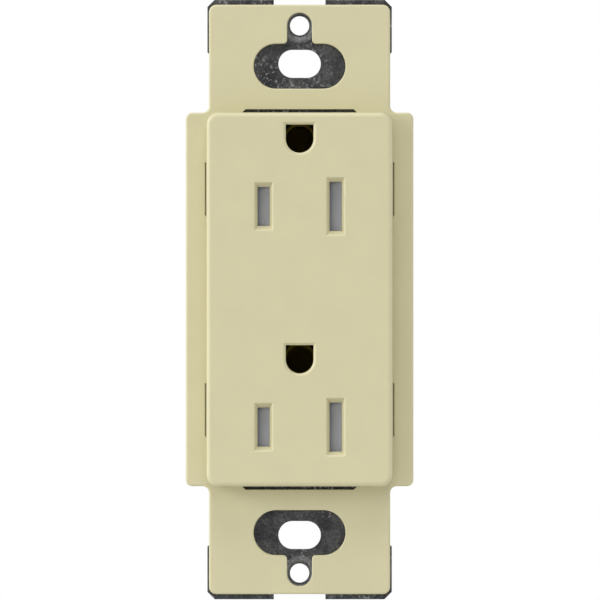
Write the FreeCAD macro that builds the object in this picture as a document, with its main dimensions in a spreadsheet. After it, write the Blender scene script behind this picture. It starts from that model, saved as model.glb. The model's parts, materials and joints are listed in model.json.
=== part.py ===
import FreeCAD, Part
import math
import os
import re
import Sketcher
from FreeCAD import Placement, Rotation, Vector

# Duplex wall outlet. X runs to the right, Z up and Y into the wall. Y = 0 is the rear face of the
# mounting strap, and the origin lies midway between the two box screw slots.
# "Out" is a distance in front of that face (towards -Y); "deep" is a distance behind it.

SIZES = [
    # Mounting strap
    ("strap_thick", 1.3), ("strap_end", 53.0), ("ear_half", 16.3), ("ear_chamfer", 1.3),
    ("ear_low", 43.7), ("ear_taper", 3.7), ("ear_gap_half", 4.56), ("ear_gap_deep", 1.0),
    ("rail_half", 19.2), ("rail_end", 32.5), ("rail_chamfer", 1.2),
    ("opening_half", 15.2), ("opening_end", 31.6),
    ("box_slot_height", 41.65), ("box_slot_half", 1.27), ("box_slot_radius", 2.48),
    ("plate_hole_height", 48.4), ("plate_hole_radius", 1.7), ("collar_radius", 2.7),
    ("collar_deep", 0.9), ("lead_in", 1.05), ("strap_edge", 0.25),
    ("tab_inner", 11.3), ("tab_low", 33.6), ("tab_high", 41.0), ("tab_deep", 9.2),
    ("ground_screw_height", 37.3), ("ground_screw_deep", 4.9),
    # Trim frame
    ("trim_thick", 1.2), ("trim_half", 16.0), ("trim_end", 52.07), ("trim_corner", 1.32),
    ("flange_half", 20.1), ("flange_end", 33.0), ("flange_corner", 1.15), ("trim_inside", 1.2),
    ("trim_edge", 0.35), ("skirt_wall", 0.8), ("skirt_return", 0.4),
    ("window_half", 16.45), ("window_end", 32.98), ("window_corner", 2.13),
    ("notch_half", 16.72), ("notch_height", 19.5), ("notch_tall", 9.4), ("notch_deep", 0.85),
    ("end_notch_low", 10.2), ("end_notch_high", 9.55), ("end_notch_end", 33.6),
    ("slot_window_height", 41.2), ("slot_window_half", 4.15), ("slot_window_radius", 3.97),
    ("neck_height", 48.45), ("neck_radius", 2.2), ("neck_blend", 0.7), ("screw_window_edge", 0.2),
    ("peg_place", 17.9), ("peg_height", 26.0), ("peg_half", 0.8), ("peg_gap", 0.1),
    # Face
    ("face_out", 7.7), ("face_half", 16.42), ("face_end", 32.95), ("face_corner", 2.1),
    ("face_edge", 0.8), ("skirt_gap", 0.1),
    ("outlet_up", 16.4), ("outlet_low", -22.5), ("slot_place", 6.35), ("slot_wide", 2.12),
    ("hot_tall", 6.9), ("neutral_tall", 8.65),
    ("side_bevel", 0.55), ("end_bevel", 0.8), ("bevel_deep", 1.1), ("slot_rim", 0.25),
    ("ground_rise", 11.89), ("ground_radius", 2.45), ("ground_flat", 2.56), ("ground_bevel", 0.4),
    ("cavity_out", 6.2), ("cavity_left", -12.8), ("cavity_right", 13.4), ("cavity_half", 5.65),
    # Shutters, their springs and trays
    ("shutter_front", 6.12), ("shutter_thick", 3.15), ("shutter_left", -12.6),
    ("shutter_right", 9.0), ("shutter_half", 5.5), ("shutter_travel", 2.6), ("gate_wide", 2.4),
    ("hot_gate_half", 3.9), ("neutral_gate_half", 4.75), ("ramp_wide", 2.2),
    ("ramp_deep", 1.0),
    ("stub_radius", 0.55), ("stub_long", 1.4),
    ("spring_radius", 1.15), ("wire_radius", 0.15), ("spring_long", 4.3), ("spring_turns", 4.5),
    ("tray_front", 2.87), ("tray_thick", 1.2), ("tray_gap", 0.1), ("tray_slot_wide", 3.0),
    ("tray_slot_tall", 9.2), ("tray_rail", 0.8),
    # Rear body
    ("body_half", 16.2), ("body_end", 32.3), ("body_deep", 23.0), ("body_corner", 1.0),
    ("body_chamfer", 0.8),
    ("contact_inner", 3.9), ("contact_outer", 8.9), ("contact_half", 4.3), ("contact_deep", 16.0),
    ("web_slot_half", 2.2), ("channel_half", 3.3), ("channel_low", -14.2),
    ("channel_deep", 20.4), ("recess_floor", 9.3), ("recess_half", 5.1),
    ("wire_hole_radius", 1.15), ("wire_hole_place", 14.2), ("wire_hole_offset", 3.4),
    ("release_place", 11.4), ("release_wide", 1.2), ("release_tall", 3.0), ("release_deep", 2.5),
    ("gauge_height", -22.5), ("gauge_long", 12.0), ("gauge_wide", 1.8), ("gauge_deep", 0.5),
    # Terminal screws, clamp plates and buses
    ("screw_up", 6.8), ("screw_low", -12.9), ("screw_deep", 8.5), ("head_radius", 4.0),
    ("head_thick", 1.9), ("head_edge", 0.5), ("shank_radius", 2.0), ("shank_long", 7.4),
    ("thread_pitch", 0.794), ("thread_deep", 0.4),
    ("drive_wide", 1.2), ("drive_deep", 1.0), ("screw_gap", 0.1), ("bore_gap", 0.08),
    ("clamp_outer", 12.7), ("clamp_thick", 1.6), ("clamp_half", 4.6), ("groove_radius", 1.2),
    ("groove_sink", 0.8),
    ("sheet", 0.8), ("plate_inner", 16.3), ("plate_front", 3.4), ("plate_reach", 4.6),
    ("link_front", 6.5), ("link_back", 9.5), ("web_half", 2.0), ("web_front", 15.2),
    ("leaf_thick", 0.6), ("leaf_base", 1.9), ("leaf_throat", 1.25), ("leaf_mouth", 2.0),
    ("leaf_bend_deep", 12.0), ("throat_deep", 7.0), ("mouth_deep", 2.6), ("leaf_half", 3.4),
    # Grounding parts
    ("bus_half", 3.0), ("bus_top", 38.4), ("bus_leg", 32.6), ("bus_seat", 19.0),
    ("bus_low", -13.5), ("tube_outer", 2.9), ("tube_inner", 2.38), ("tube_front", 3.0),
    ("tube_floor", 18.2), ("slit_wide", 0.9), ("slit_deep", 11.0), ("stem_radius", 0.9),
    ("stem_head", 1.6), ("stem_head_thick", 0.5),
    ("rivet_height", 35.8), ("rivet_place", 1.75), ("rivet_radius", 0.9), ("rivet_head", 1.4),
    ("rivet_head_thick", 0.6),
    ("ground_shank_long", 6.0), ("ground_head_radius", 3.8),
    # Drive pins that hold the face to the rear body
    ("pin_place", 11.0), ("pin_up", 27.2), ("pin_low", -29.9), ("pin_radius", 1.1),
    ("pin_tip", 4.8), ("pin_head_radius", 1.7), ("pin_head_thick", 0.9), ("pin_head_deep", 1.5),
    ("pin_gap", 0.06),
]

NAMES = {name for name, size in SIZES}
RIGHT = 1
LEFT = -1

document = FreeCAD.newDocument("DuplexOutlet")
sheet = document.addObject("Spreadsheet::Sheet", "Sizes")
for row, (name, size) in enumerate(SIZES, 1):
    sheet.set("A%d" % row, name)
    sheet.set("B%d" % row, str(size))
    sheet.setAlias("B%d" % row, name)
document.recompute()


def bound(text):
    """The same formula with each size name pointing at the sheet."""
    def point(match):
        word = match.group(0)
        return "Sizes." + word if word in NAMES else word
    return re.sub("[a-z_]+", point, text)


def amount(text):
    """The present value of a formula."""
    return float(sheet.evalExpression(text))


def new_body(name, place=("0", "0", "0"), turn=None):
    """An empty body whose placement follows the sheet."""
    body = document.addObject("PartDesign::Body", name)
    body.Label = name
    if turn:
        body.Placement = Placement(Vector(0, 0, 0), turn)
    for axis, formula in zip("xyz", place):
        body.setExpression("Placement.Base." + axis, bound(formula))
    return body


def new_sketch(body, name, plane, offset):
    """A sketch parallel to one of the body's own base planes."""
    sketch = body.newObject("Sketcher::SketchObject", name)
    base = [item for item in body.Origin.OriginFeatures if item.Role == plane][0]
    sketch.AttachmentSupport = [(base, "")]
    sketch.MapMode = "FlatFace"
    sketch.setExpression("AttachmentOffset.Base.z", bound(offset))
    return sketch


def fix_point(sketch, item, end, across, along):
    """Ties one point of a sketch to two formulas."""
    for kind, formula in (("DistanceX", across), ("DistanceY", along)):
        number = sketch.addConstraint(Sketcher.Constraint(kind, -1, 1, item, end, amount(formula)))
        sketch.setExpression("Constraints[%d]" % number, bound(formula))


def fix_radius(sketch, item, radius):
    number = sketch.addConstraint(Sketcher.Constraint("Radius", item, amount(radius)))
    sketch.setExpression("Constraints[%d]" % number, bound(radius))


def draw_outline(sketch, corners):
    """A closed outline of straight sides through the corners."""
    first = sketch.GeometryCount
    spots = [Vector(amount(across), amount(along), 0) for across, along in corners]
    count = len(spots)
    for number in range(count):
        sketch.addGeometry(Part.LineSegment(spots[number], spots[(number + 1) % count]))
    for number in range(count):
        following = first + (number + 1) % count
        sketch.addConstraint(Sketcher.Constraint("Coincident", first + number, 2, following, 1))
    for number, (across, along) in enumerate(corners):
        fix_point(sketch, first + number, 1, across, along)


def draw_box(sketch, left, right, low, high):
    draw_outline(sketch, [(left, low), (right, low), (right, high), (left, high)])


def draw_circle(sketch, across, along, radius):
    centre = Vector(amount(across), amount(along), 0)
    item = sketch.addGeometry(Part.Circle(centre, Vector(0, 0, 1), amount(radius)))
    fix_point(sketch, item, 3, across, along)
    fix_radius(sketch, item, radius)


def draw_slot(sketch, start, finish, radius):
    """A round-ended slot between two centres."""
    ends = [Vector(amount(across), amount(along), 0) for across, along in (finish, start)]
    run = (ends[0] - ends[1]).normalize()
    side = Vector(-run.y, run.x, 0) * amount(radius)
    heading = math.atan2(run.y, run.x)
    quarter = math.pi / 2
    arcs = []
    for centre, turn in zip(ends, (0, 2 * quarter)):
        circle = Part.Circle(centre, Vector(0, 0, 1), amount(radius))
        begin = heading + turn - quarter
        arcs.append(sketch.addGeometry(Part.ArcOfCircle(circle, begin, begin + 2 * quarter)))
    top = sketch.addGeometry(Part.LineSegment(ends[0] + side, ends[1] + side))
    bottom = sketch.addGeometry(Part.LineSegment(ends[1] - side, ends[0] - side))
    for before, after in ((arcs[0], top), (top, arcs[1]), (arcs[1], bottom), (bottom, arcs[0])):
        sketch.addConstraint(Sketcher.Constraint("Tangent", before, 2, after, 1))
    for arc, (across, along) in zip(arcs, (finish, start)):
        fix_point(sketch, arc, 3, across, along)
        fix_radius(sketch, arc, radius)


def draw_rounded_box(sketch, half_across, half_along, radius):
    """A rectangle about the origin with rounded corners."""
    quarter = math.pi / 2
    signs = [("", ""), ("-", ""), ("-", "-"), ("", "-")]
    reach = amount(radius)
    arcs, starts, ends, places = [], [], [], []
    for turn, (side, end) in enumerate(signs):
        across = "%s(%s - %s)" % (side, half_across, radius)
        along = "%s(%s - %s)" % (end, half_along, radius)
        centre = Vector(amount(across), amount(along), 0)
        circle = Part.Circle(centre, Vector(0, 0, 1), reach)
        arc = Part.ArcOfCircle(circle, turn * quarter, (turn + 1) * quarter)
        arcs.append(sketch.addGeometry(arc))
        starts.append(arc.StartPoint)
        ends.append(arc.EndPoint)
        places.append((across, along))
    for number in range(4):
        following = (number + 1) % 4
        line = sketch.addGeometry(Part.LineSegment(ends[number], starts[following]))
        sketch.addConstraint(Sketcher.Constraint("Tangent", arcs[number], 2, line, 1))
        sketch.addConstraint(Sketcher.Constraint("Tangent", line, 2, arcs[following], 1))
    for arc, (across, along) in zip(arcs, places):
        fix_point(sketch, arc, 3, across, along)
        fix_radius(sketch, arc, radius)


def draw_ground_hole(sketch, height):
    """A D-shaped hole, round below and flat on top."""
    left, right = "-ground_radius", "ground_radius"
    top = height + " + ground_flat"
    corners = [(right, height), (right, top), (left, top), (left, height)]
    first = sketch.GeometryCount
    spots = [Vector(amount(across), amount(along), 0) for across, along in corners]
    for number in range(3):
        sketch.addGeometry(Part.LineSegment(spots[number], spots[number + 1]))
        fix_point(sketch, first + number, 1, *corners[number])
        fix_point(sketch, first + number, 2, *corners[number + 1])
    circle = Part.Circle(Vector(0, amount(height), 0), Vector(0, 0, 1), amount(right))
    arc = sketch.addGeometry(Part.ArcOfCircle(circle, math.pi, 2 * math.pi))
    sketch.addConstraint(Sketcher.Constraint("Coincident", arc, 1, first + 2, 2))
    sketch.addConstraint(Sketcher.Constraint("Coincident", arc, 2, first, 1))
    number = sketch.addConstraint(Sketcher.Constraint("DistanceY", -1, 1, arc, 3, amount(height)))
    sketch.setExpression("Constraints[%d]" % number, bound(height))


def add_pad(body, name, plane, offset, length, draw, centred=False):
    """Material grown from a sketch along the plane's normal."""
    sketch = new_sketch(body, name + "_outline", plane, offset)
    draw(sketch)
    pad = body.newObject("PartDesign::Pad", name)
    pad.Profile = sketch
    pad.SideType = "Symmetric" if centred else "One side"
    pad.setExpression("Length", bound(length))
    document.recompute()
    return pad


def add_pocket(body, name, plane, offset, length, draw, centred=False):
    """Material cut from a sketch against the plane's normal."""
    sketch = new_sketch(body, name + "_outline", plane, offset)
    draw(sketch)
    pocket = body.newObject("PartDesign::Pocket", name)
    pocket.Profile = sketch
    pocket.SideType = "Symmetric" if centred else "One side"
    pocket.setExpression("Length", bound(length))
    document.recompute()
    return pocket


def add_funnel(body, name, plane, wide_end, narrow_end):
    """Removes a straight-sided funnel between two outlines, each an offset and a drawing."""
    sketches = []
    for label, (offset, draw) in (("wide", wide_end), ("narrow", narrow_end)):
        sketch = new_sketch(body, "%s_%s_outline" % (name, label), plane, offset)
        draw(sketch)
        sketches.append(sketch)
    funnel = body.newObject("PartDesign::SubtractiveLoft", name)
    funnel.Profile = sketches[0]
    funnel.Sections = [sketches[1]]
    funnel.Ruled = True
    document.recompute()
    return funnel


def add_turned(body, name, corners):
    """A solid turned about the X axis from its half outline."""
    sketch = new_sketch(body, name + "_outline", "XY_Plane", "0")
    draw_outline(sketch, corners)
    turned = body.newObject("PartDesign::Revolution", name)
    turned.Profile = sketch
    turned.ReferenceAxis = (sketch, ["H_Axis"])
    turned.Angle = 360
    document.recompute()
    return turned


def dress(body, kind, name, feature, size, chosen):
    """A fillet or chamfer on the edges of a feature that pass the test."""
    edges = []
    for number, edge in enumerate(feature.Shape.Edges, 1):
        if chosen(edge.BoundBox):
            edges.append("Edge%d" % number)
    dressing = body.newObject("PartDesign::" + kind, name)
    dressing.Base = (feature, edges)
    dressing.setExpression("Radius" if kind == "Fillet" else "Size", bound(size))
    document.recompute()
    return dressing


def near(value, formula, slack=0.01):
    return abs(value - amount(formula)) < slack


def upright_edge(across, along):
    """Picks the edges along Y at the four mirrored places of a corner."""
    def chosen(box):
        at_corner = near(abs(box.Center.x), across) and near(abs(box.Center.z), along)
        return at_corner and box.XLength < 0.01 and box.ZLength < 0.01
    return chosen


def front_edge(out):
    """Picks the edges that lie in the plane at this distance in front."""
    def chosen(box):
        return near(-box.YMin, out) and near(-box.YMax, out)
    return chosen


def mirrored(points):
    """The outline of a plate from the corners of its upper right quarter."""
    quarter = list(points)
    upper_left = [("-(%s)" % across, along) for across, along in reversed(quarter)]
    lower_left = [("-(%s)" % across, "-(%s)" % along) for across, along in quarter]
    lower_right = [(across, "-(%s)" % along) for across, along in reversed(quarter)]
    return quarter + upper_left + lower_left + lower_right


def make_strap():
    body = new_body("mounting_strap")
    neck = "(ear_half - ear_taper)"
    outline = mirrored([
        ("rail_half", "rail_end - rail_chamfer"), ("rail_half - rail_chamfer", "rail_end"),
        (neck, "rail_end"), (neck, "ear_low - ear_taper"),
        ("ear_half", "ear_low"), ("ear_half", "strap_end - ear_chamfer"),
        ("ear_half - ear_chamfer", "strap_end"), ("ear_gap_half", "strap_end"),
        ("ear_gap_half", "strap_end - ear_gap_deep")])
    plate = add_pad(body, "plate", "XZ_Plane", "0", "strap_thick",
                    lambda sketch: draw_outline(sketch, outline))
    dress(body, "Fillet", "front_rim", plate, "strap_edge", front_edge("strap_thick"))

    def collars(sketch):
        for sign in ("", "-"):
            draw_circle(sketch, "0", sign + "plate_hole_height", "collar_radius")

    def tab(sketch):
        draw_box(sketch, "tab_inner", neck, "tab_low", "tab_high")

    def openings(sketch):
        draw_box(sketch, "-opening_half", "opening_half", "-opening_end", "opening_end")
        for sign in ("", "-"):
            height = sign + "box_slot_height"
            draw_slot(sketch, ("-box_slot_half", height), ("box_slot_half", height),
                      "box_slot_radius")
        for side in ("", "-"):
            draw_circle(sketch, side + "rivet_place", "rivet_height", "rivet_radius + pin_gap")

    def peg_holes(sketch):
        reach = "peg_half + peg_gap"
        for side in ("", "-"):
            for end in ("", "-"):
                draw_box(sketch, "%speg_place - (%s)" % (side, reach),
                         "%speg_place + %s" % (side, reach),
                         "%speg_height - (%s)" % (end, reach),
                         "%speg_height + %s" % (end, reach))

    def plate_holes(sketch):
        for sign in ("", "-"):
            draw_circle(sketch, "0", sign + "plate_hole_height", "plate_hole_radius")

    def tapped_hole(sketch):
        draw_circle(sketch, "ground_screw_deep", "ground_screw_height", "shank_radius + bore_gap")

    add_pad(body, "collars", "XZ_Plane", "-collar_deep", "collar_deep", collars)
    add_pad(body, "tab", "XZ_Plane", "-tab_deep", "tab_deep", tab)
    add_pocket(body, "openings", "XZ_Plane", "strap_thick", "strap_thick", openings)
    add_pocket(body, "peg_holes", "XZ_Plane", "strap_thick", "strap_thick", peg_holes)
    holes = add_pocket(body, "plate_holes", "XZ_Plane", "strap_thick",
                       "strap_thick + collar_deep", plate_holes)

    def hole_rim(box):
        return near(box.XLength, "2 * plate_hole_radius") and front_edge("strap_thick")(box)

    dress(body, "Fillet", "lead_ins", holes, "lead_in", hole_rim)
    add_pocket(body, "tapped_hole", "YZ_Plane", neck, neck + " - tab_inner", tapped_hole)


def make_trim():
    body = new_body("trim_frame")
    outline = mirrored([
        ("flange_half", "flange_end"), ("trim_half", "flange_end"), ("trim_half", "trim_end")])
    plate = add_pad(body, "plate", "XZ_Plane", "strap_thick", "trim_thick",
                    lambda sketch: draw_outline(sketch, outline))
    plate = dress(body, "Fillet", "end_corners", plate, "trim_corner",
                  upright_edge("trim_half", "trim_end"))
    plate = dress(body, "Fillet", "inside_corners", plate, "trim_inside",
                  upright_edge("trim_half", "flange_end"))

    def skirts(sketch):
        inner = "(flange_half - skirt_wall)"
        inner_end = "(flange_end - skirt_return)"
        for side in ("", "-"):
            outer = side + "flange_half"
            draw_outline(sketch, [
                (side + "trim_half", "-flange_end"), (outer, "-flange_end"), (outer, "flange_end"),
                (side + "trim_half", "flange_end"), (side + "trim_half", inner_end),
                ("%s(%s - flange_corner)" % (side, inner), inner_end),
                (side + inner, "%s - flange_corner" % inner_end),
                (side + inner, "-(%s - flange_corner)" % inner_end),
                ("%s(%s - flange_corner)" % (side, inner), "-" + inner_end),
                (side + "trim_half", "-" + inner_end)])

    def pegs(sketch):
        for side in ("", "-"):
            for end in ("", "-"):
                draw_box(sketch, side + "peg_place - peg_half", side + "peg_place + peg_half",
                         end + "peg_height - peg_half", end + "peg_height + peg_half")

    def window(sketch):
        draw_rounded_box(sketch, "window_half", "window_end", "window_corner")

    def side_notches(sketch):
        half = "notch_tall / 2"
        for side in ("", "-"):
            for end in ("", "-"):
                middle = end + "notch_height"
                draw_box(sketch, side + "(window_half - window_corner)", side + "notch_half",
                         "%s - %s" % (middle, half), "%s + %s" % (middle, half))

    def end_notches(sketch):
        for end in ("", "-"):
            low, high = end + "(window_end - window_corner)", end + "window_end"
            draw_outline(sketch, [
                ("-end_notch_low", low), ("end_notch_low", low), ("end_notch_low", high),
                ("end_notch_high", end + "end_notch_end"),
                ("-end_notch_high", end + "end_notch_end"), ("-end_notch_low", high)])

    def screw_windows(sketch):
        for end in ("", "-"):
            height = end + "slot_window_height"
            draw_slot(sketch, ("-slot_window_half", height), ("slot_window_half", height),
                      "slot_window_radius")

    def necks(sketch):
        for end in ("", "-"):
            draw_slot(sketch, ("0", end + "slot_window_height"), ("0", end + "neck_height"),
                      "neck_radius")

    def screw_window_rims(box):
        across = amount("slot_window_half + slot_window_radius") + 0.01
        low = amount("slot_window_height - slot_window_radius") - 0.01
        high = amount("neck_height + neck_radius") + 0.01
        inside = abs(box.Center.x) < across and low < abs(box.Center.z) < high
        return inside and front_edge("strap_thick + trim_thick")(box)

    front = "strap_thick + trim_thick"
    plate = add_pad(body, "skirts", "XZ_Plane", "0", "strap_thick", skirts)
    plate = dress(body, "Fillet", "flange_corners", plate, "flange_corner",
                  upright_edge("flange_half", "flange_end"))
    dress(body, "Fillet", "front_rim", plate, "trim_edge", front_edge(front))
    add_pad(body, "pegs", "XZ_Plane", "0", "strap_thick", pegs)
    add_pocket(body, "window", "XZ_Plane", front, "trim_thick", window)
    add_pocket(body, "side_notches", "XZ_Plane", front, "notch_deep", side_notches)
    add_pocket(body, "end_notches", "XZ_Plane", front, "trim_thick", end_notches)
    add_pocket(body, "screw_windows", "XZ_Plane", front, "trim_thick", screw_windows)
    plate = add_pocket(body, "necks", "XZ_Plane", front, "trim_thick", necks)
    plate = dress(body, "Fillet", "neck_blends", plate, "neck_blend",
                  upright_edge("neck_radius", "slot_window_height + slot_window_radius"))
    dress(body, "Fillet", "screw_window_rims", plate, "screw_window_edge", screw_window_rims)


def make_face():
    body = new_body("face")

    def outline(sketch):
        draw_box(sketch, "-face_half", "face_half", "-face_end", "face_end")

    def skirt(sketch):
        across, along = "(opening_half - skirt_gap)", "(opening_end - skirt_gap)"
        draw_box(sketch, "-" + across, across, "-" + along, along)

    def cavities(sketch):
        for height in ("outlet_up", "outlet_low"):
            draw_box(sketch, "cavity_left", "cavity_right",
                     height + " - cavity_half", height + " + cavity_half")

    def blade_slot(height, side, tall, side_margin="0", end_margin="0"):
        wide = "(slot_wide / 2 + %s)" % side_margin
        reach = "(%s / 2 + %s)" % (tall, end_margin)
        return lambda sketch: draw_box(
            sketch, side + "slot_place - " + wide, side + "slot_place + " + wide,
            "%s - %s" % (height, reach), "%s + %s" % (height, reach))

    def ground_holes(sketch):
        for height in ("outlet_up", "outlet_low"):
            draw_ground_hole(sketch, height + " + ground_rise")

    def pin_holes(sketch):
        for side in ("", "-"):
            for height in ("pin_up", "pin_low"):
                draw_circle(sketch, side + "pin_place", height, "pin_radius + pin_gap")

    block = add_pad(body, "block", "XZ_Plane", "strap_thick", "face_out - strap_thick", outline)
    block = dress(body, "Fillet", "corners", block, "face_corner",
                  upright_edge("face_half", "face_end"))
    dress(body, "Fillet", "front_rim", block, "face_edge", front_edge("face_out"))
    add_pad(body, "skirt", "XZ_Plane", "0", "strap_thick", skirt)
    add_pocket(body, "cavities", "XZ_Plane", "cavity_out", "cavity_out", cavities)
    add_pocket(body, "pin_holes", "XZ_Plane", "pin_tip + pin_gap", "pin_tip + pin_gap", pin_holes)
    for label, height in (("up", "outlet_up"), ("low", "outlet_low")):
        for side, tall in (("-", "hot_tall"), ("", "neutral_tall")):
            name = "%s_%s" % (tall.split("_")[0], label)
            mouth = blade_slot(height, side, tall, "side_bevel", "end_bevel")
            throat = blade_slot(height, side, tall)
            add_funnel(body, "bevel_" + name, "XZ_Plane", ("face_out", mouth),
                       ("face_out - bevel_deep", throat))
            add_pocket(body, "slot_" + name, "XZ_Plane", "face_out", "face_out - cavity_out",
                       throat)
    feature = add_pocket(body, "ground_holes", "XZ_Plane", "face_out", "face_out", ground_holes)

    def hole_rims(box):
        reach = amount("ground_radius") + 0.01
        heights = [amount(height + " + ground_rise") for height in ("outlet_up", "outlet_low")]
        beside = [abs(box.Center.z - height) < amount("ground_flat") + 0.01 for height in heights]
        return any(beside) and abs(box.Center.x) < reach and front_edge("face_out")(box)

    def slot_rims(box):
        inner = amount("slot_place - slot_wide")
        outer = amount("slot_place + slot_wide")
        return inner < abs(box.Center.x) < outer and front_edge("face_out")(box)

    feature = dress(body, "Chamfer", "hole_bevels", feature, "ground_bevel", hole_rims)
    dress(body, "Fillet", "slot_rims", feature, "slot_rim", slot_rims)


def make_shutter(name, height):
    """A sliding gate. A ramp under each slot turns the push of a blade into side travel."""
    body = new_body(name, ("0", "0", height))
    back = "(shutter_front - shutter_thick)"

    def plate(sketch):
        draw_box(sketch, "shutter_left", "shutter_right", "-shutter_half", "shutter_half")

    def gates(sketch):
        for side, half in (("-", "hot_gate_half"), ("", "neutral_gate_half")):
            middle = "(%sslot_place - shutter_travel)" % side
            draw_box(sketch, middle + " - gate_wide / 2", middle + " + gate_wide / 2",
                     "-" + half, half)

    add_pad(body, "plate", "XZ_Plane", back, "shutter_thick", plate)
    add_pocket(body, "gates", "XZ_Plane", "shutter_front", "shutter_thick", gates)
    for label, side, half in (("hot_ramp", "-", "hot_gate_half"),
                              ("neutral_ramp", "", "neutral_gate_half")):
        edge = "(%sslot_place - shutter_travel + gate_wide / 2)" % side

        def ramp(sketch):
            draw_outline(sketch, [(edge, "-shutter_front"), (edge, "-(shutter_front - ramp_deep)"),
                                  (edge + " + ramp_wide", "-shutter_front")])
        add_pocket(body, label, "XY_Plane", "0", "2 * " + half, ramp, centred=True)

    def stub(sketch):
        draw_circle(sketch, "-(shutter_front - shutter_thick / 2)", "0", "stub_radius")

    add_pad(body, "stub", "YZ_Plane", "shutter_right", "stub_long", stub)


def make_spring(name, height):
    """A coil that presses the shutter closed, drawn along Z and laid along X."""
    middle = "-(shutter_front - shutter_thick / 2)"
    body = new_body(name, ("shutter_right + pin_gap", middle, height),
                    Rotation(Vector(0, 1, 0), 90))
    sketch = new_sketch(body, "wire_outline", "XZ_Plane", "0")
    draw_circle(sketch, "spring_radius - wire_radius", "wire_radius", "wire_radius")
    coil = body.newObject("PartDesign::AdditiveHelix", "coil")
    coil.Profile = sketch
    coil.ReferenceAxis = (sketch, ["V_Axis"])
    coil.Mode = "height-turns-angle"
    coil.setExpression("Height", bound("spring_long - 2 * wire_radius"))
    coil.setExpression("Turns", bound("spring_turns"))
    document.recompute()


def make_tray(name, height):
    """The plate that keeps a shutter in its cavity, on two rails that stand on the rear body."""
    body = new_body(name, ("0", "0", height))
    left, right = "cavity_left + tray_gap", "cavity_right - tray_gap"
    half = "(cavity_half - tray_gap)"
    back = "(tray_front - tray_thick)"

    def plate(sketch):
        draw_box(sketch, left, right, "-" + half, half)

    def rails(sketch):
        for side in ("", "-"):
            draw_box(sketch, left, right, "%s(%s - tray_rail)" % (side, half), side + half)

    def slots(sketch):
        for side in ("", "-"):
            draw_box(sketch, side + "slot_place - tray_slot_wide / 2",
                     side + "slot_place + tray_slot_wide / 2",
                     "-tray_slot_tall / 2", "tray_slot_tall / 2")

    add_pad(body, "plate", "XZ_Plane", back, "tray_thick", plate)
    add_pad(body, "rails", "XZ_Plane", "0", back, rails)
    add_pocket(body, "slots", "XZ_Plane", "tray_front", "tray_thick", slots)


def make_rear_body():
    body = new_body("rear_body")

    def outline(sketch):
        draw_box(sketch, "-body_half", "body_half", "-body_end", "body_end")

    def rear_rim(box):
        return near(box.YMin, "body_deep") and near(box.YMax, "body_deep")

    block = add_pad(body, "block", "XZ_Plane", "-body_deep", "body_deep", outline)
    block = dress(body, "Fillet", "corners", block, "body_corner",
                  upright_edge("body_half", "body_end"))
    dress(body, "Chamfer", "rear_bevel", block, "body_chamfer", rear_rim)

    def contact_wells(sketch):
        for height in ("outlet_up", "outlet_low"):
            for side in ("", "-"):
                near_side, wall, far = (side + item for item in
                                        ("contact_inner", "contact_outer", "body_half"))
                low, high = height + " - contact_half", height + " + contact_half"
                slot_low, slot_high = height + " - web_slot_half", height + " + web_slot_half"
                draw_outline(sketch, [
                    (near_side, low), (wall, low), (wall, slot_low), (far, slot_low),
                    (far, slot_high), (wall, slot_high), (wall, high), (near_side, high)])

    def channel(sketch):
        draw_box(sketch, "-channel_half", "channel_half", "channel_low", "body_end")

    def recesses(sketch):
        for height in ("screw_up", "screw_low"):
            draw_box(sketch, "screw_deep - recess_half", "screw_deep + recess_half",
                     height + " - recess_half", height + " + recess_half")

    def wire_holes(sketch):
        for side in ("", "-"):
            for height in ("screw_up", "screw_low"):
                for end in (" - ", " + "):
                    draw_circle(sketch, side + "wire_hole_place",
                                height + end + "wire_hole_offset", "wire_hole_radius")

    def release_slots(sketch):
        for side in ("", "-"):
            middle = side + "release_place"
            for height in ("screw_up", "screw_low"):
                for end in (" - ", " + "):
                    wire = height + end + "wire_hole_offset"
                    draw_box(sketch, middle + " - release_wide / 2", middle + " + release_wide / 2",
                             wire + " - release_tall / 2", wire + " + release_tall / 2")

    def gauge(sketch):
        draw_box(sketch, "-gauge_long / 2", "gauge_long / 2",
                 "gauge_height - gauge_wide / 2", "gauge_height + gauge_wide / 2")

    def pins(radius):
        def draw(sketch):
            for side in ("", "-"):
                for height in ("pin_up", "pin_low"):
                    draw_circle(sketch, side + "pin_place", height, radius)
        return draw

    add_pocket(body, "contact_wells", "XZ_Plane", "0", "contact_deep", contact_wells)
    add_pocket(body, "channel", "XZ_Plane", "0", "channel_deep", channel)
    width = "body_half - recess_floor"
    add_pocket(body, "right_recesses", "YZ_Plane", "body_half", width, recesses)
    add_pocket(body, "left_recesses", "YZ_Plane", "-recess_floor", width, recesses)
    bottom = "(screw_deep + recess_half)"
    add_pocket(body, "wire_holes", "XZ_Plane", "-" + bottom, "body_deep - " + bottom, wire_holes)
    add_pocket(body, "release_slots", "XZ_Plane", "-(body_deep - release_deep)", "release_deep",
               release_slots)
    add_pocket(body, "gauge", "XZ_Plane", "-(body_deep - gauge_deep)", "gauge_deep", gauge)
    add_pocket(body, "pin_holes", "XZ_Plane", "0", "body_deep", pins("pin_radius + pin_gap"))
    add_pocket(body, "pin_seats", "XZ_Plane", "-(body_deep - pin_head_deep)", "pin_head_deep",
               pins("pin_head_radius + 5 * pin_gap"))


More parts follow.
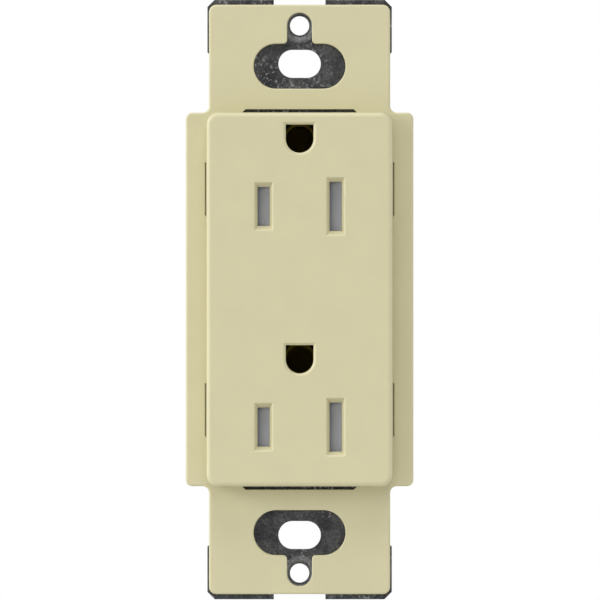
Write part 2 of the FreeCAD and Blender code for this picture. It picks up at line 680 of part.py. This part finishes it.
def make_bus(name, side):
    """Side plates for two screws, a break-off link, and a two-leaf contact behind each slot."""
    body = new_body(name)
    hand = "" if side == RIGHT else "-"
    inner, outer = hand + "plate_inner", hand + "(plate_inner + sheet)"

    def across(formula):
        return "%s(slot_place + %s)" % (hand, formula)

    leaf = [("leaf_base", "web_front + sheet"), ("leaf_base", "leaf_bend_deep"),
            ("leaf_throat", "throat_deep"), ("leaf_mouth", "mouth_deep"),
            ("(leaf_mouth - leaf_thick)", "mouth_deep"),
            ("(leaf_throat - leaf_thick)", "throat_deep"),
            ("(leaf_base - leaf_thick)", "leaf_bend_deep"),
            ("(leaf_base - leaf_thick)", "web_front")]
    contact = [(across(offset), deep) for offset, deep in leaf]
    contact += [(across("-" + offset), deep) for offset, deep in reversed(leaf)]
    for label, height in (("up", "outlet_up"), ("low", "outlet_low")):
        add_pad(body, "contact_" + label, "XY_Plane", height, "2 * leaf_half",
                lambda sketch: draw_outline(sketch, contact), centred=True)

        def web(sketch):
            draw_box(sketch, across("leaf_base - sheet"), outer, "web_front", "web_front + sheet")
        add_pad(body, "web_" + label, "XY_Plane", height, "2 * web_half", web, centred=True)

    def plates(sketch):
        back = "web_front + sheet"
        draw_box(sketch, "plate_front", back, "screw_up - plate_reach", "outlet_up + web_half")
        draw_box(sketch, "plate_front", back, "outlet_low - web_half", "screw_low + plate_reach")

    def link(sketch):
        draw_box(sketch, "link_front", "link_back", "screw_low + plate_reach - sheet",
                 "screw_up - plate_reach + sheet")

    def screw_holes(sketch):
        for height in ("screw_up", "screw_low"):
            draw_circle(sketch, "screw_deep", height, "shank_radius + bore_gap")

    start = inner if side == RIGHT else outer
    add_pad(body, "plates", "YZ_Plane", start, "sheet", plates)
    add_pad(body, "link", "YZ_Plane", start, "sheet", link)
    finish = outer if side == RIGHT else inner
    add_pocket(body, "screw_holes", "YZ_Plane", finish, "sheet", screw_holes)


def make_screw(name, place, turn, shank_long, head_radius):
    """A slotted screw whose shank runs along its own -X from the underside of the head.

    The thread is drawn as separate rings, one pitch apart.
    """
    body = new_body(name, place, turn)
    corners = [
        ("-" + shank_long, "0"), ("head_thick", "0"), ("head_thick", head_radius + " - head_edge"),
        ("head_thick - head_edge", head_radius), ("0", head_radius), ("0", "shank_radius")]
    rings = int(amount("(%s - head_edge) / thread_pitch" % shank_long))
    for ring in range(1, rings):
        crest = "-(%d * thread_pitch)" % ring
        corners += [(crest, "shank_radius"),
                    (crest + " - thread_pitch / 2", "shank_radius - thread_deep")]
    corners += [("-(%s - head_edge)" % shank_long, "shank_radius"),
                ("-" + shank_long, "shank_radius - head_edge")]
    turned = add_turned(body, "turned", corners)

    def drive(sketch):
        draw_box(sketch, "-" + head_radius, head_radius, "-drive_wide / 2", "drive_wide / 2")

    add_pocket(body, "drive", "YZ_Plane", "head_thick", "drive_deep", drive)
    return turned


def make_clamp(name, place, turn):
    """A square plate on the screw, with a groove for each of two wires."""
    body = new_body(name, place, turn)

    def plate(sketch):
        draw_box(sketch, "-clamp_half", "clamp_half", "-clamp_half", "clamp_half")

    def hole(sketch):
        draw_circle(sketch, "0", "0", "shank_radius + bore_gap")

    def grooves(sketch):
        for sign in ("", "-"):
            draw_circle(sketch, "groove_sink", sign + "wire_hole_offset", "groove_radius")

    add_pad(body, "plate", "YZ_Plane", "-clamp_thick", "clamp_thick", plate)
    add_pocket(body, "hole", "YZ_Plane", "0", "clamp_thick", hole)
    add_pocket(body, "grooves", "XZ_Plane", "0", "2 * clamp_half", grooves, centred=True)


def make_ground_bus():
    """A strip from the strap, around the top of the rear body and down behind the ground holes."""
    body = new_body("ground_bus")

    def profile(sketch):
        draw_outline(sketch, [
            ("0", "bus_leg"), ("bus_seat", "bus_leg"), ("bus_seat", "bus_low"),
            ("bus_seat + sheet", "bus_low"), ("bus_seat + sheet", "bus_leg + sheet"),
            ("sheet", "bus_leg + sheet"), ("sheet", "bus_top"), ("0", "bus_top")])

    def rivet_holes(sketch):
        for side in ("", "-"):
            draw_circle(sketch, side + "rivet_place", "rivet_height", "rivet_radius + pin_gap")

    def stem_holes(sketch):
        for height in ("outlet_up", "outlet_low"):
            draw_circle(sketch, "0", height + " + ground_rise", "stem_radius + pin_gap")

    add_pad(body, "strip", "YZ_Plane", "0", "2 * bus_half", profile, centred=True)
    add_pocket(body, "rivet_holes", "XZ_Plane", "0", "sheet", rivet_holes)
    add_pocket(body, "stem_holes", "XZ_Plane", "-bus_seat", "sheet", stem_holes)


def make_ground_contact(name, height):
    """A split tube for a ground pin, on a stem headed over behind the strip."""
    body = new_body(name, ("0", "0", height + " + ground_rise"))

    def round_of(radius):
        return lambda sketch: draw_circle(sketch, "0", "0", radius)

    def slit(sketch):
        draw_box(sketch, "-tube_outer", "tube_outer", "-slit_wide / 2", "slit_wide / 2")

    add_pad(body, "tube", "XZ_Plane", "-bus_seat", "bus_seat - tube_front", round_of("tube_outer"))
    add_pad(body, "stem", "XZ_Plane", "-(bus_seat + sheet + stem_head_thick)",
            "sheet + stem_head_thick", round_of("stem_radius"))
    add_pad(body, "head", "XZ_Plane", "-(bus_seat + sheet + stem_head_thick)", "stem_head_thick",
            round_of("stem_head"))
    add_pocket(body, "bore", "XZ_Plane", "-tube_front", "tube_floor - tube_front",
               round_of("tube_inner"))
    add_pocket(body, "slit", "XZ_Plane", "-tube_front", "slit_deep", slit)


def make_rivet(name, side):
    """A rivet set flush in the strap and headed behind the ground strip."""
    body = new_body(name, (side + "rivet_place", "0", "rivet_height"),
                    Rotation(Vector(0, 0, 1), 90))
    head = "sheet + rivet_head_thick"
    add_turned(body, "turned", [
        ("-strap_thick", "0"), (head, "0"), (head, "rivet_head"), ("sheet", "rivet_head"),
        ("sheet", "rivet_radius"), ("-strap_thick", "rivet_radius")])


def make_pin(name, side, height):
    """A plain drive pin, headed at the back and driven up into the face."""
    body = new_body(name, (side + "pin_place", "0", height), Rotation(Vector(0, 0, 1), 90))
    seat = "(body_deep - pin_head_deep)"
    back = seat + " + pin_head_thick"
    add_turned(body, "turned", [
        ("-pin_tip", "0"), (back, "0"), (back, "pin_head_radius"), (seat, "pin_head_radius"),
        (seat, "pin_radius"), ("-pin_tip", "pin_radius")])


def make_terminals():
    """Four screws with their clamp plates, two on each side."""
    outer = "(plate_inner + sheet + screw_gap)"
    for side_name, hand, turn in (("neutral", "", Rotation()),
                                  ("hot", "-", Rotation(Vector(0, 0, 1), 180))):
        for end_name, height in (("upper", "screw_up"), ("lower", "screw_low")):
            label = "%s_%s" % (side_name, end_name)
            make_screw("terminal_screw_" + label, (hand + outer, "screw_deep", height), turn,
                       "shank_long", "head_radius")
            make_clamp("clamp_plate_" + label, (hand + "clamp_outer", "screw_deep", height), turn)


def make_all():
    make_strap()
    make_trim()
    make_face()
    for end_name, height in (("upper", "outlet_up"), ("lower", "outlet_low")):
        make_shutter("shutter_" + end_name, height)
        make_spring("shutter_spring_" + end_name, height)
        make_tray("shutter_tray_" + end_name, height)
        make_ground_contact("ground_contact_" + end_name, height)
    make_rear_body()
    make_bus("neutral_bus", RIGHT)
    make_bus("hot_bus", LEFT)
    make_terminals()
    make_ground_bus()
    make_screw("ground_screw", ("ear_half - ear_taper + screw_gap", "ground_screw_deep",
                                "ground_screw_height"), Rotation(),
               "ground_shank_long", "ground_head_radius")
    for side_name, hand in (("right", ""), ("left", "-")):
        make_rivet("ground_rivet_" + side_name, hand)
        for end_name, height in (("upper", "pin_up"), ("lower", "pin_low")):
            make_pin("drive_pin_%s_%s" % (end_name, side_name), hand, height)


def write_steps():
    """Checks every object, then writes one file for each body."""
    document.recompute()
    for item in document.Objects:
        broken = [word for word in item.State if word in ("Invalid", "Error")]
        if broken:
            raise RuntimeError("%s is %s" % (item.Label, broken))
    os.makedirs("parts", exist_ok=True)
    for body in document.Objects:
        if body.TypeId != "PartDesign::Body":
            continue
        if body.Shape.isNull() or not body.Shape.isValid() or len(body.Shape.Solids) != 1:
            raise RuntimeError("%s has no single valid solid" % body.Label)
        body.Shape.exportStep("parts/%s.step" % body.Label)


make_all()
write_steps()
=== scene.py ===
"""Duplex wall outlet: looks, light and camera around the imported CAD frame. Metres throughout."""

import json
import math

import bpy
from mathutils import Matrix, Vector


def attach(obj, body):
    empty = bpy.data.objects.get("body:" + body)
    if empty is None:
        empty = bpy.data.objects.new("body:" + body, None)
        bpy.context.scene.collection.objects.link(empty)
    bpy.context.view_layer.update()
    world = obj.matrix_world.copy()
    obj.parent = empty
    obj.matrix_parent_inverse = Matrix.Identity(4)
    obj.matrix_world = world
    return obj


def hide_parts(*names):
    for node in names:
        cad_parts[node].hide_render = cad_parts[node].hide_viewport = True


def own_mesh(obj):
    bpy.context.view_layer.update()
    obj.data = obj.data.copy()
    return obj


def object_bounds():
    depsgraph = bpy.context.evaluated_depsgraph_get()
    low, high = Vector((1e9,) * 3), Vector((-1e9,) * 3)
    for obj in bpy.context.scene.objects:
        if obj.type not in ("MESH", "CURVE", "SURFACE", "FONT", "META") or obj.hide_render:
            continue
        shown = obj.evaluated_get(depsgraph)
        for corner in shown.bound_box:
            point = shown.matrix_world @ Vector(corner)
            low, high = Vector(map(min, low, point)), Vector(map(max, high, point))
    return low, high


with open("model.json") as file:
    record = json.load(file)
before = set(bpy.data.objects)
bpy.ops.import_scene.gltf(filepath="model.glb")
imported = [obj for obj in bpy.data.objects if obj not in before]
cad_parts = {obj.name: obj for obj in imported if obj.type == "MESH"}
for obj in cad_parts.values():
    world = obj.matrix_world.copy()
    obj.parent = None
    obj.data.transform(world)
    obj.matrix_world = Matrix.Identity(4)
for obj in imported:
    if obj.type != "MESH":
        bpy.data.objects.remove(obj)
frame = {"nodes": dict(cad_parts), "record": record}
NODES = frame["nodes"]
cad_low, cad_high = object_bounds()

MM = 0.001

# Straight on, with the strap's length filling the square frame.
VIEW_DISTANCE = 2.0
VIEW_HEIGHT = 106.12 * MM
VIEW_CENTRE = Vector((0.07 * MM, 0, -0.1 * MM))
SENSOR = 36.0
CLIP_END = 10.0

# A painted highlight: a ring of paler steel round each plate-screw hole, standing in for light
# caught on the dished slope.
PLATE_HOLE_Z = 48.4 * MM
HIGHLIGHT_RING_INNER = 2.9 * MM
HIGHLIGHT_RING_OUTER = 3.2 * MM

FLOOR_GAP = 20 * MM
FLOOR_RADIUS = 0.7
FLOOR_SIDES = 96
LIGHT_DISTANCE = 2.5
LIGHT_SIZE = 1.5
AMBIENT = 0.39

ROUNDING_SAMPLES = 8
BLACK, WHITE = (0, 0, 0), (1, 1, 1)


# ---------------------------------------------------------------- node helpers

def new_material(name):
    """A material with an empty tree but for its output and a Principled shader."""
    material = bpy.data.materials.new(name)
    material.use_nodes = True
    tree = material.node_tree
    tree.nodes.clear()
    output = tree.nodes.new("ShaderNodeOutputMaterial")
    shader = tree.nodes.new("ShaderNodeBsdfPrincipled")
    tree.links.new(shader.outputs["BSDF"], output.inputs["Surface"])
    return material, tree, shader


def noise(tree, scale, detail=2.0, stretch=(1, 1, 1), shift=0.0):
    """Noise in the object's own metres, optionally stretched along an axis or shifted."""
    place = tree.nodes.new("ShaderNodeTexCoord")
    mapping = tree.nodes.new("ShaderNodeMapping")
    mapping.inputs["Scale"].default_value = stretch
    mapping.inputs["Location"].default_value = (shift, shift, shift)
    texture = tree.nodes.new("ShaderNodeTexNoise")
    texture.inputs["Scale"].default_value = scale
    texture.inputs["Detail"].default_value = detail
    tree.links.new(place.outputs["Object"], mapping.inputs["Vector"])
    tree.links.new(mapping.outputs["Vector"], texture.inputs["Vector"])
    return texture.outputs["Fac"]


def ramp(tree, source, *stops):
    """A colour ramp with (position, colour) stops."""
    node = tree.nodes.new("ShaderNodeValToRGB")
    node.color_ramp.elements[0].position = stops[0][0]
    node.color_ramp.elements[-1].position = stops[-1][0]
    for position, _ in stops[1:-1]:
        node.color_ramp.elements.new(position)
    for element, (_, colour) in zip(node.color_ramp.elements, stops):
        element.color = (*colour, 1)
    tree.links.new(source, node.inputs["Fac"])
    return node.outputs["Color"]


def level(tree, source, low, high):
    """Maps a 0 to 1 value to a range."""
    node = tree.nodes.new("ShaderNodeMapRange")
    node.inputs["To Min"].default_value = low
    node.inputs["To Max"].default_value = high
    tree.links.new(source, node.inputs["Value"])
    return node.outputs["Result"]


def mixed(tree, mode, factor, first, second):
    """Two colours mixed; any input may be a socket or a constant."""
    node = tree.nodes.new("ShaderNodeMix")
    node.data_type = "RGBA"
    node.blend_type = mode
    for key, value in (("Factor", factor), ("A", first), ("B", second)):
        slot = [item for item in node.inputs if item.name == key and item.enabled][0]
        if isinstance(value, bpy.types.NodeSocket):
            tree.links.new(value, slot)
        elif isinstance(value, tuple):
            slot.default_value = (*value, 1)
        else:
            slot.default_value = value
    return [item for item in node.outputs if item.enabled][0]


def bump(tree, shader, source, height, edge=0.0):
    """Raises the surface by a height in metres, over edges rounded by a small radius."""
    node = tree.nodes.new("ShaderNodeBump")
    node.inputs["Distance"].default_value = height
    tree.links.new(source, node.inputs["Height"])
    if edge:
        rounded = tree.nodes.new("ShaderNodeBevel")
        rounded.samples = ROUNDING_SAMPLES
        rounded.inputs["Radius"].default_value = edge
        tree.links.new(rounded.outputs["Normal"], node.inputs["Normal"])
    tree.links.new(node.outputs["Normal"], shader.inputs["Normal"])


def shade(colour, factor):
    return tuple(channel * factor for channel in colour)


def discs(tree, height, inner, outer, strength):
    """A soft-edged mask of two discs in the XZ plane, at X 0 and plus and minus a height."""
    place = tree.nodes.new("ShaderNodeTexCoord")
    split = tree.nodes.new("ShaderNodeSeparateXYZ")
    tree.links.new(place.outputs["Object"], split.inputs["Vector"])
    folded = tree.nodes.new("ShaderNodeMath")
    folded.operation = "ABSOLUTE"
    tree.links.new(split.outputs["Z"], folded.inputs[0])
    joined = tree.nodes.new("ShaderNodeCombineXYZ")
    tree.links.new(split.outputs["X"], joined.inputs["X"])
    tree.links.new(folded.outputs["Value"], joined.inputs["Z"])
    reach = tree.nodes.new("ShaderNodeVectorMath")
    reach.operation = "DISTANCE"
    reach.inputs[1].default_value = (0, 0, height)
    tree.links.new(joined.outputs["Vector"], reach.inputs[0])
    node = tree.nodes.new("ShaderNodeMapRange")
    node.inputs["From Min"].default_value = inner
    node.inputs["From Max"].default_value = outer
    node.inputs["To Min"].default_value = strength
    node.inputs["To Max"].default_value = 0
    tree.links.new(reach.outputs["Value"], node.inputs["Value"])
    return node.outputs["Result"]


# ---------------------------------------------------------------- materials

def plastic(name, colour, roughness, grain, edge=0.1 * MM):
    """Moulded plastic: a faint mottle in its colour, and a fine spark-eroded grain."""
    material, tree, shader = new_material(name)
    mottle = noise(tree, 160, 3)
    tint = ramp(tree, mottle, (0.3, shade(colour, 0.985)), (0.7, shade(colour, 1.015)))
    tree.links.new(tint, shader.inputs["Base Color"])
    fine = noise(tree, 9000, 2)
    tree.links.new(level(tree, fine, roughness - 0.04, roughness + 0.06),
                   shader.inputs["Roughness"])
    bump(tree, shader, fine, grain, edge)
    return material


def zinc_steel(name, dark, light, edge=0.12 * MM):
    """Zinc-plated strip: dark passivated mottle, with clusters of fine bright scuffs, and a
    painted highlight ring round each plate-screw hole.
    """
    material, tree, shader = new_material(name)
    shader.inputs["Metallic"].default_value = 0.8
    blotch = noise(tree, 420, 5)
    grain = noise(tree, 2600, 4)
    body = ramp(tree, blotch, (0.36, dark), (0.64, light))
    # Painted highlight: the steel is paler in a ring round each plate-screw hole, in place of
    # light caught on the dished slope.
    drawn_lines_and_painted_highlight = mixed(tree, "MIX", discs(tree, PLATE_HOLE_Z, HIGHLIGHT_RING_INNER, HIGHLIGHT_RING_OUTER, 0.85), body,
                  shade(light, 2.2))
    speckle = ramp(tree, grain, (0.32, (0.12, 0.12, 0.12)), (0.68, (0.88, 0.88, 0.88)))
    speckled = mixed(tree, "OVERLAY", 0.5, drawn_lines_and_painted_highlight, speckle)
    scuffs = ramp(tree, noise(tree, 1900, 4, shift=0.4), (0.54, BLACK), (0.67, WHITE))
    cluster = ramp(tree, noise(tree, 150, 2, shift=0.31), (0.40, BLACK), (0.56, WHITE))
    worn = mixed(tree, "MULTIPLY", 1.0, scuffs, cluster)
    tint = mixed(tree, "MIX", worn, speckled, shade(light, 3.4))
    tree.links.new(tint, shader.inputs["Base Color"])
    tree.links.new(level(tree, blotch, 0.36, 0.58), shader.inputs["Roughness"])
    bump(tree, shader, grain, 0.012 * MM, edge)
    return material


def metal(name, colour, roughness, edge=0.08 * MM, grain_height=0.004 * MM):
    """Plated or bare metal: fine drawn lines, and a faint tarnish that dulls it in places."""
    material, tree, shader = new_material(name)
    shader.inputs["Metallic"].default_value = 1.0
    tarnish = noise(tree, 220, 4)
    lines = noise(tree, 5200, 2, (1, 1, 0.06))
    tint = ramp(tree, tarnish, (0.3, shade(colour, 0.84)), (0.7, colour))
    drawn_lines_and_painted_highlight = ramp(tree, lines, (0.3, (0.42, 0.42, 0.42)), (0.7, (0.58, 0.58, 0.58)))
    tree.links.new(mixed(tree, "OVERLAY", 0.6, tint, drawn_lines_and_painted_highlight), shader.inputs["Base Color"])
    tree.links.new(level(tree, tarnish, roughness - 0.05, roughness + 0.08),
                   shader.inputs["Roughness"])
    bump(tree, shader, lines, grain_height, edge)
    return material


IVORY = (0.600, 0.560, 0.352)
MATERIALS = {
    "device_plastic": plastic("device_plastic", IVORY, 0.46, 0.004 * MM, 0.12 * MM),
    "shutter_plastic": plastic("shutter_plastic", (0.364, 0.371, 0.402), 0.5, 0.004 * MM),
    "housing_plastic": plastic("housing_plastic", (0.034, 0.033, 0.030), 0.5,
                               0.008 * MM, 0.2 * MM),
    "zinc_steel": zinc_steel("zinc_steel", (0.043, 0.043, 0.046), (0.086, 0.086, 0.087)),
    "brass": metal("brass", (0.72, 0.50, 0.20), 0.32),
    "contact_bronze": metal("contact_bronze", (0.30, 0.23, 0.03), 0.6),
    "nickel_screw": metal("nickel_screw", (0.55, 0.54, 0.51), 0.3),
    "green_screw": metal("green_screw", (0.03, 0.20, 0.07), 0.35),
    "spring_steel": metal("spring_steel", (0.42, 0.42, 0.41), 0.3, 0),
}


def dress_nodes():
    """Every CAD node gets the material of its slot."""
    for entry in frame["record"]["subparts"]:
        mesh = NODES[entry["node"]].data
        mesh.materials.clear()
        mesh.materials.append(MATERIALS[entry["material_slot"]])


def make_springs():
    """Coils copied from each shutter's spring, held by the housing in place of the CAD springs."""
    for end in ("upper", "lower"):
        node = "shutter_spring_" + end
        coil = bpy.data.objects.new("return_coil_" + end, NODES[node].data.copy())
        bpy.context.scene.collection.objects.link(coil)
        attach(coil, "housing")
        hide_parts(node)
        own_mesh(coil)


# ---------------------------------------------------------------- stage, light and camera

def make_floor():
    bpy.ops.mesh.primitive_circle_add(vertices=FLOOR_SIDES, radius=FLOOR_RADIUS, fill_type="NGON",
                                      location=(0, 0, cad_low.z - FLOOR_GAP))
    floor = bpy.context.object
    floor.name = "floor"
    material, tree, shader = new_material("pale_floor")
    tint = ramp(tree, noise(tree, 8, 2), (0.3, (0.78, 0.78, 0.77)), (0.7, (0.82, 0.82, 0.81)))
    tree.links.new(tint, shader.inputs["Base Color"])
    shader.inputs["Roughness"].default_value = 0.8
    floor.data.materials.append(material)


def make_light(name, direction, power):
    """A square soft light, of a power in watts, that faces the object's centre."""
    lamp = bpy.data.lights.new(name, "AREA")
    lamp.size = LIGHT_SIZE
    lamp.energy = power
    holder = bpy.data.objects.new(name, lamp)
    bpy.context.scene.collection.objects.link(holder)
    toward = Vector(direction).normalized()
    holder.location = toward * LIGHT_DISTANCE
    holder.rotation_euler = toward.to_track_quat("Z", "Y").to_euler()


def make_world(ambient):
    """Even light from all round, behind a plain white background."""
    world = bpy.data.worlds.new("studio")
    bpy.context.scene.world = world
    world.use_nodes = True
    tree = world.node_tree
    tree.nodes.clear()
    output = tree.nodes.new("ShaderNodeOutputWorld")
    fill = tree.nodes.new("ShaderNodeBackground")
    fill.inputs["Strength"].default_value = ambient
    paper = tree.nodes.new("ShaderNodeBackground")
    paper.inputs["Color"].default_value = (*WHITE, 1)
    seen = tree.nodes.new("ShaderNodeLightPath")
    mix = tree.nodes.new("ShaderNodeMixShader")
    tree.links.new(seen.outputs["Is Camera Ray"], mix.inputs["Fac"])
    tree.links.new(fill.outputs["Background"], mix.inputs[1])
    tree.links.new(paper.outputs["Background"], mix.inputs[2])
    tree.links.new(mix.outputs["Shader"], output.inputs["Surface"])


def make_camera():
    data = bpy.data.cameras.new("camera")
    data.sensor_width = SENSOR
    data.lens = SENSOR * VIEW_DISTANCE / VIEW_HEIGHT
    data.clip_end = CLIP_END
    camera = bpy.data.objects.new("camera", data)
    bpy.context.scene.collection.objects.link(camera)
    camera.location = VIEW_CENTRE + Vector((0, -VIEW_DISTANCE, 0))
    camera.rotation_euler = (math.radians(90), 0, 0)
    bpy.context.scene.camera = camera


def make_studio():
    """Soft light from four sides, mostly from above and from the left."""
    make_world(AMBIENT)
    make_light("top", (0, -0.3, 1), 30)
    make_light("left", (-1, -0.3, 0.3), 49)
    make_light("right", (1, -0.3, 0), 17)
    make_light("front", (0, -1, 0.5), 11)
    bpy.context.scene.view_settings.view_transform = "Standard"


dress_nodes()
make_springs()
make_floor()
make_studio()
make_camera()
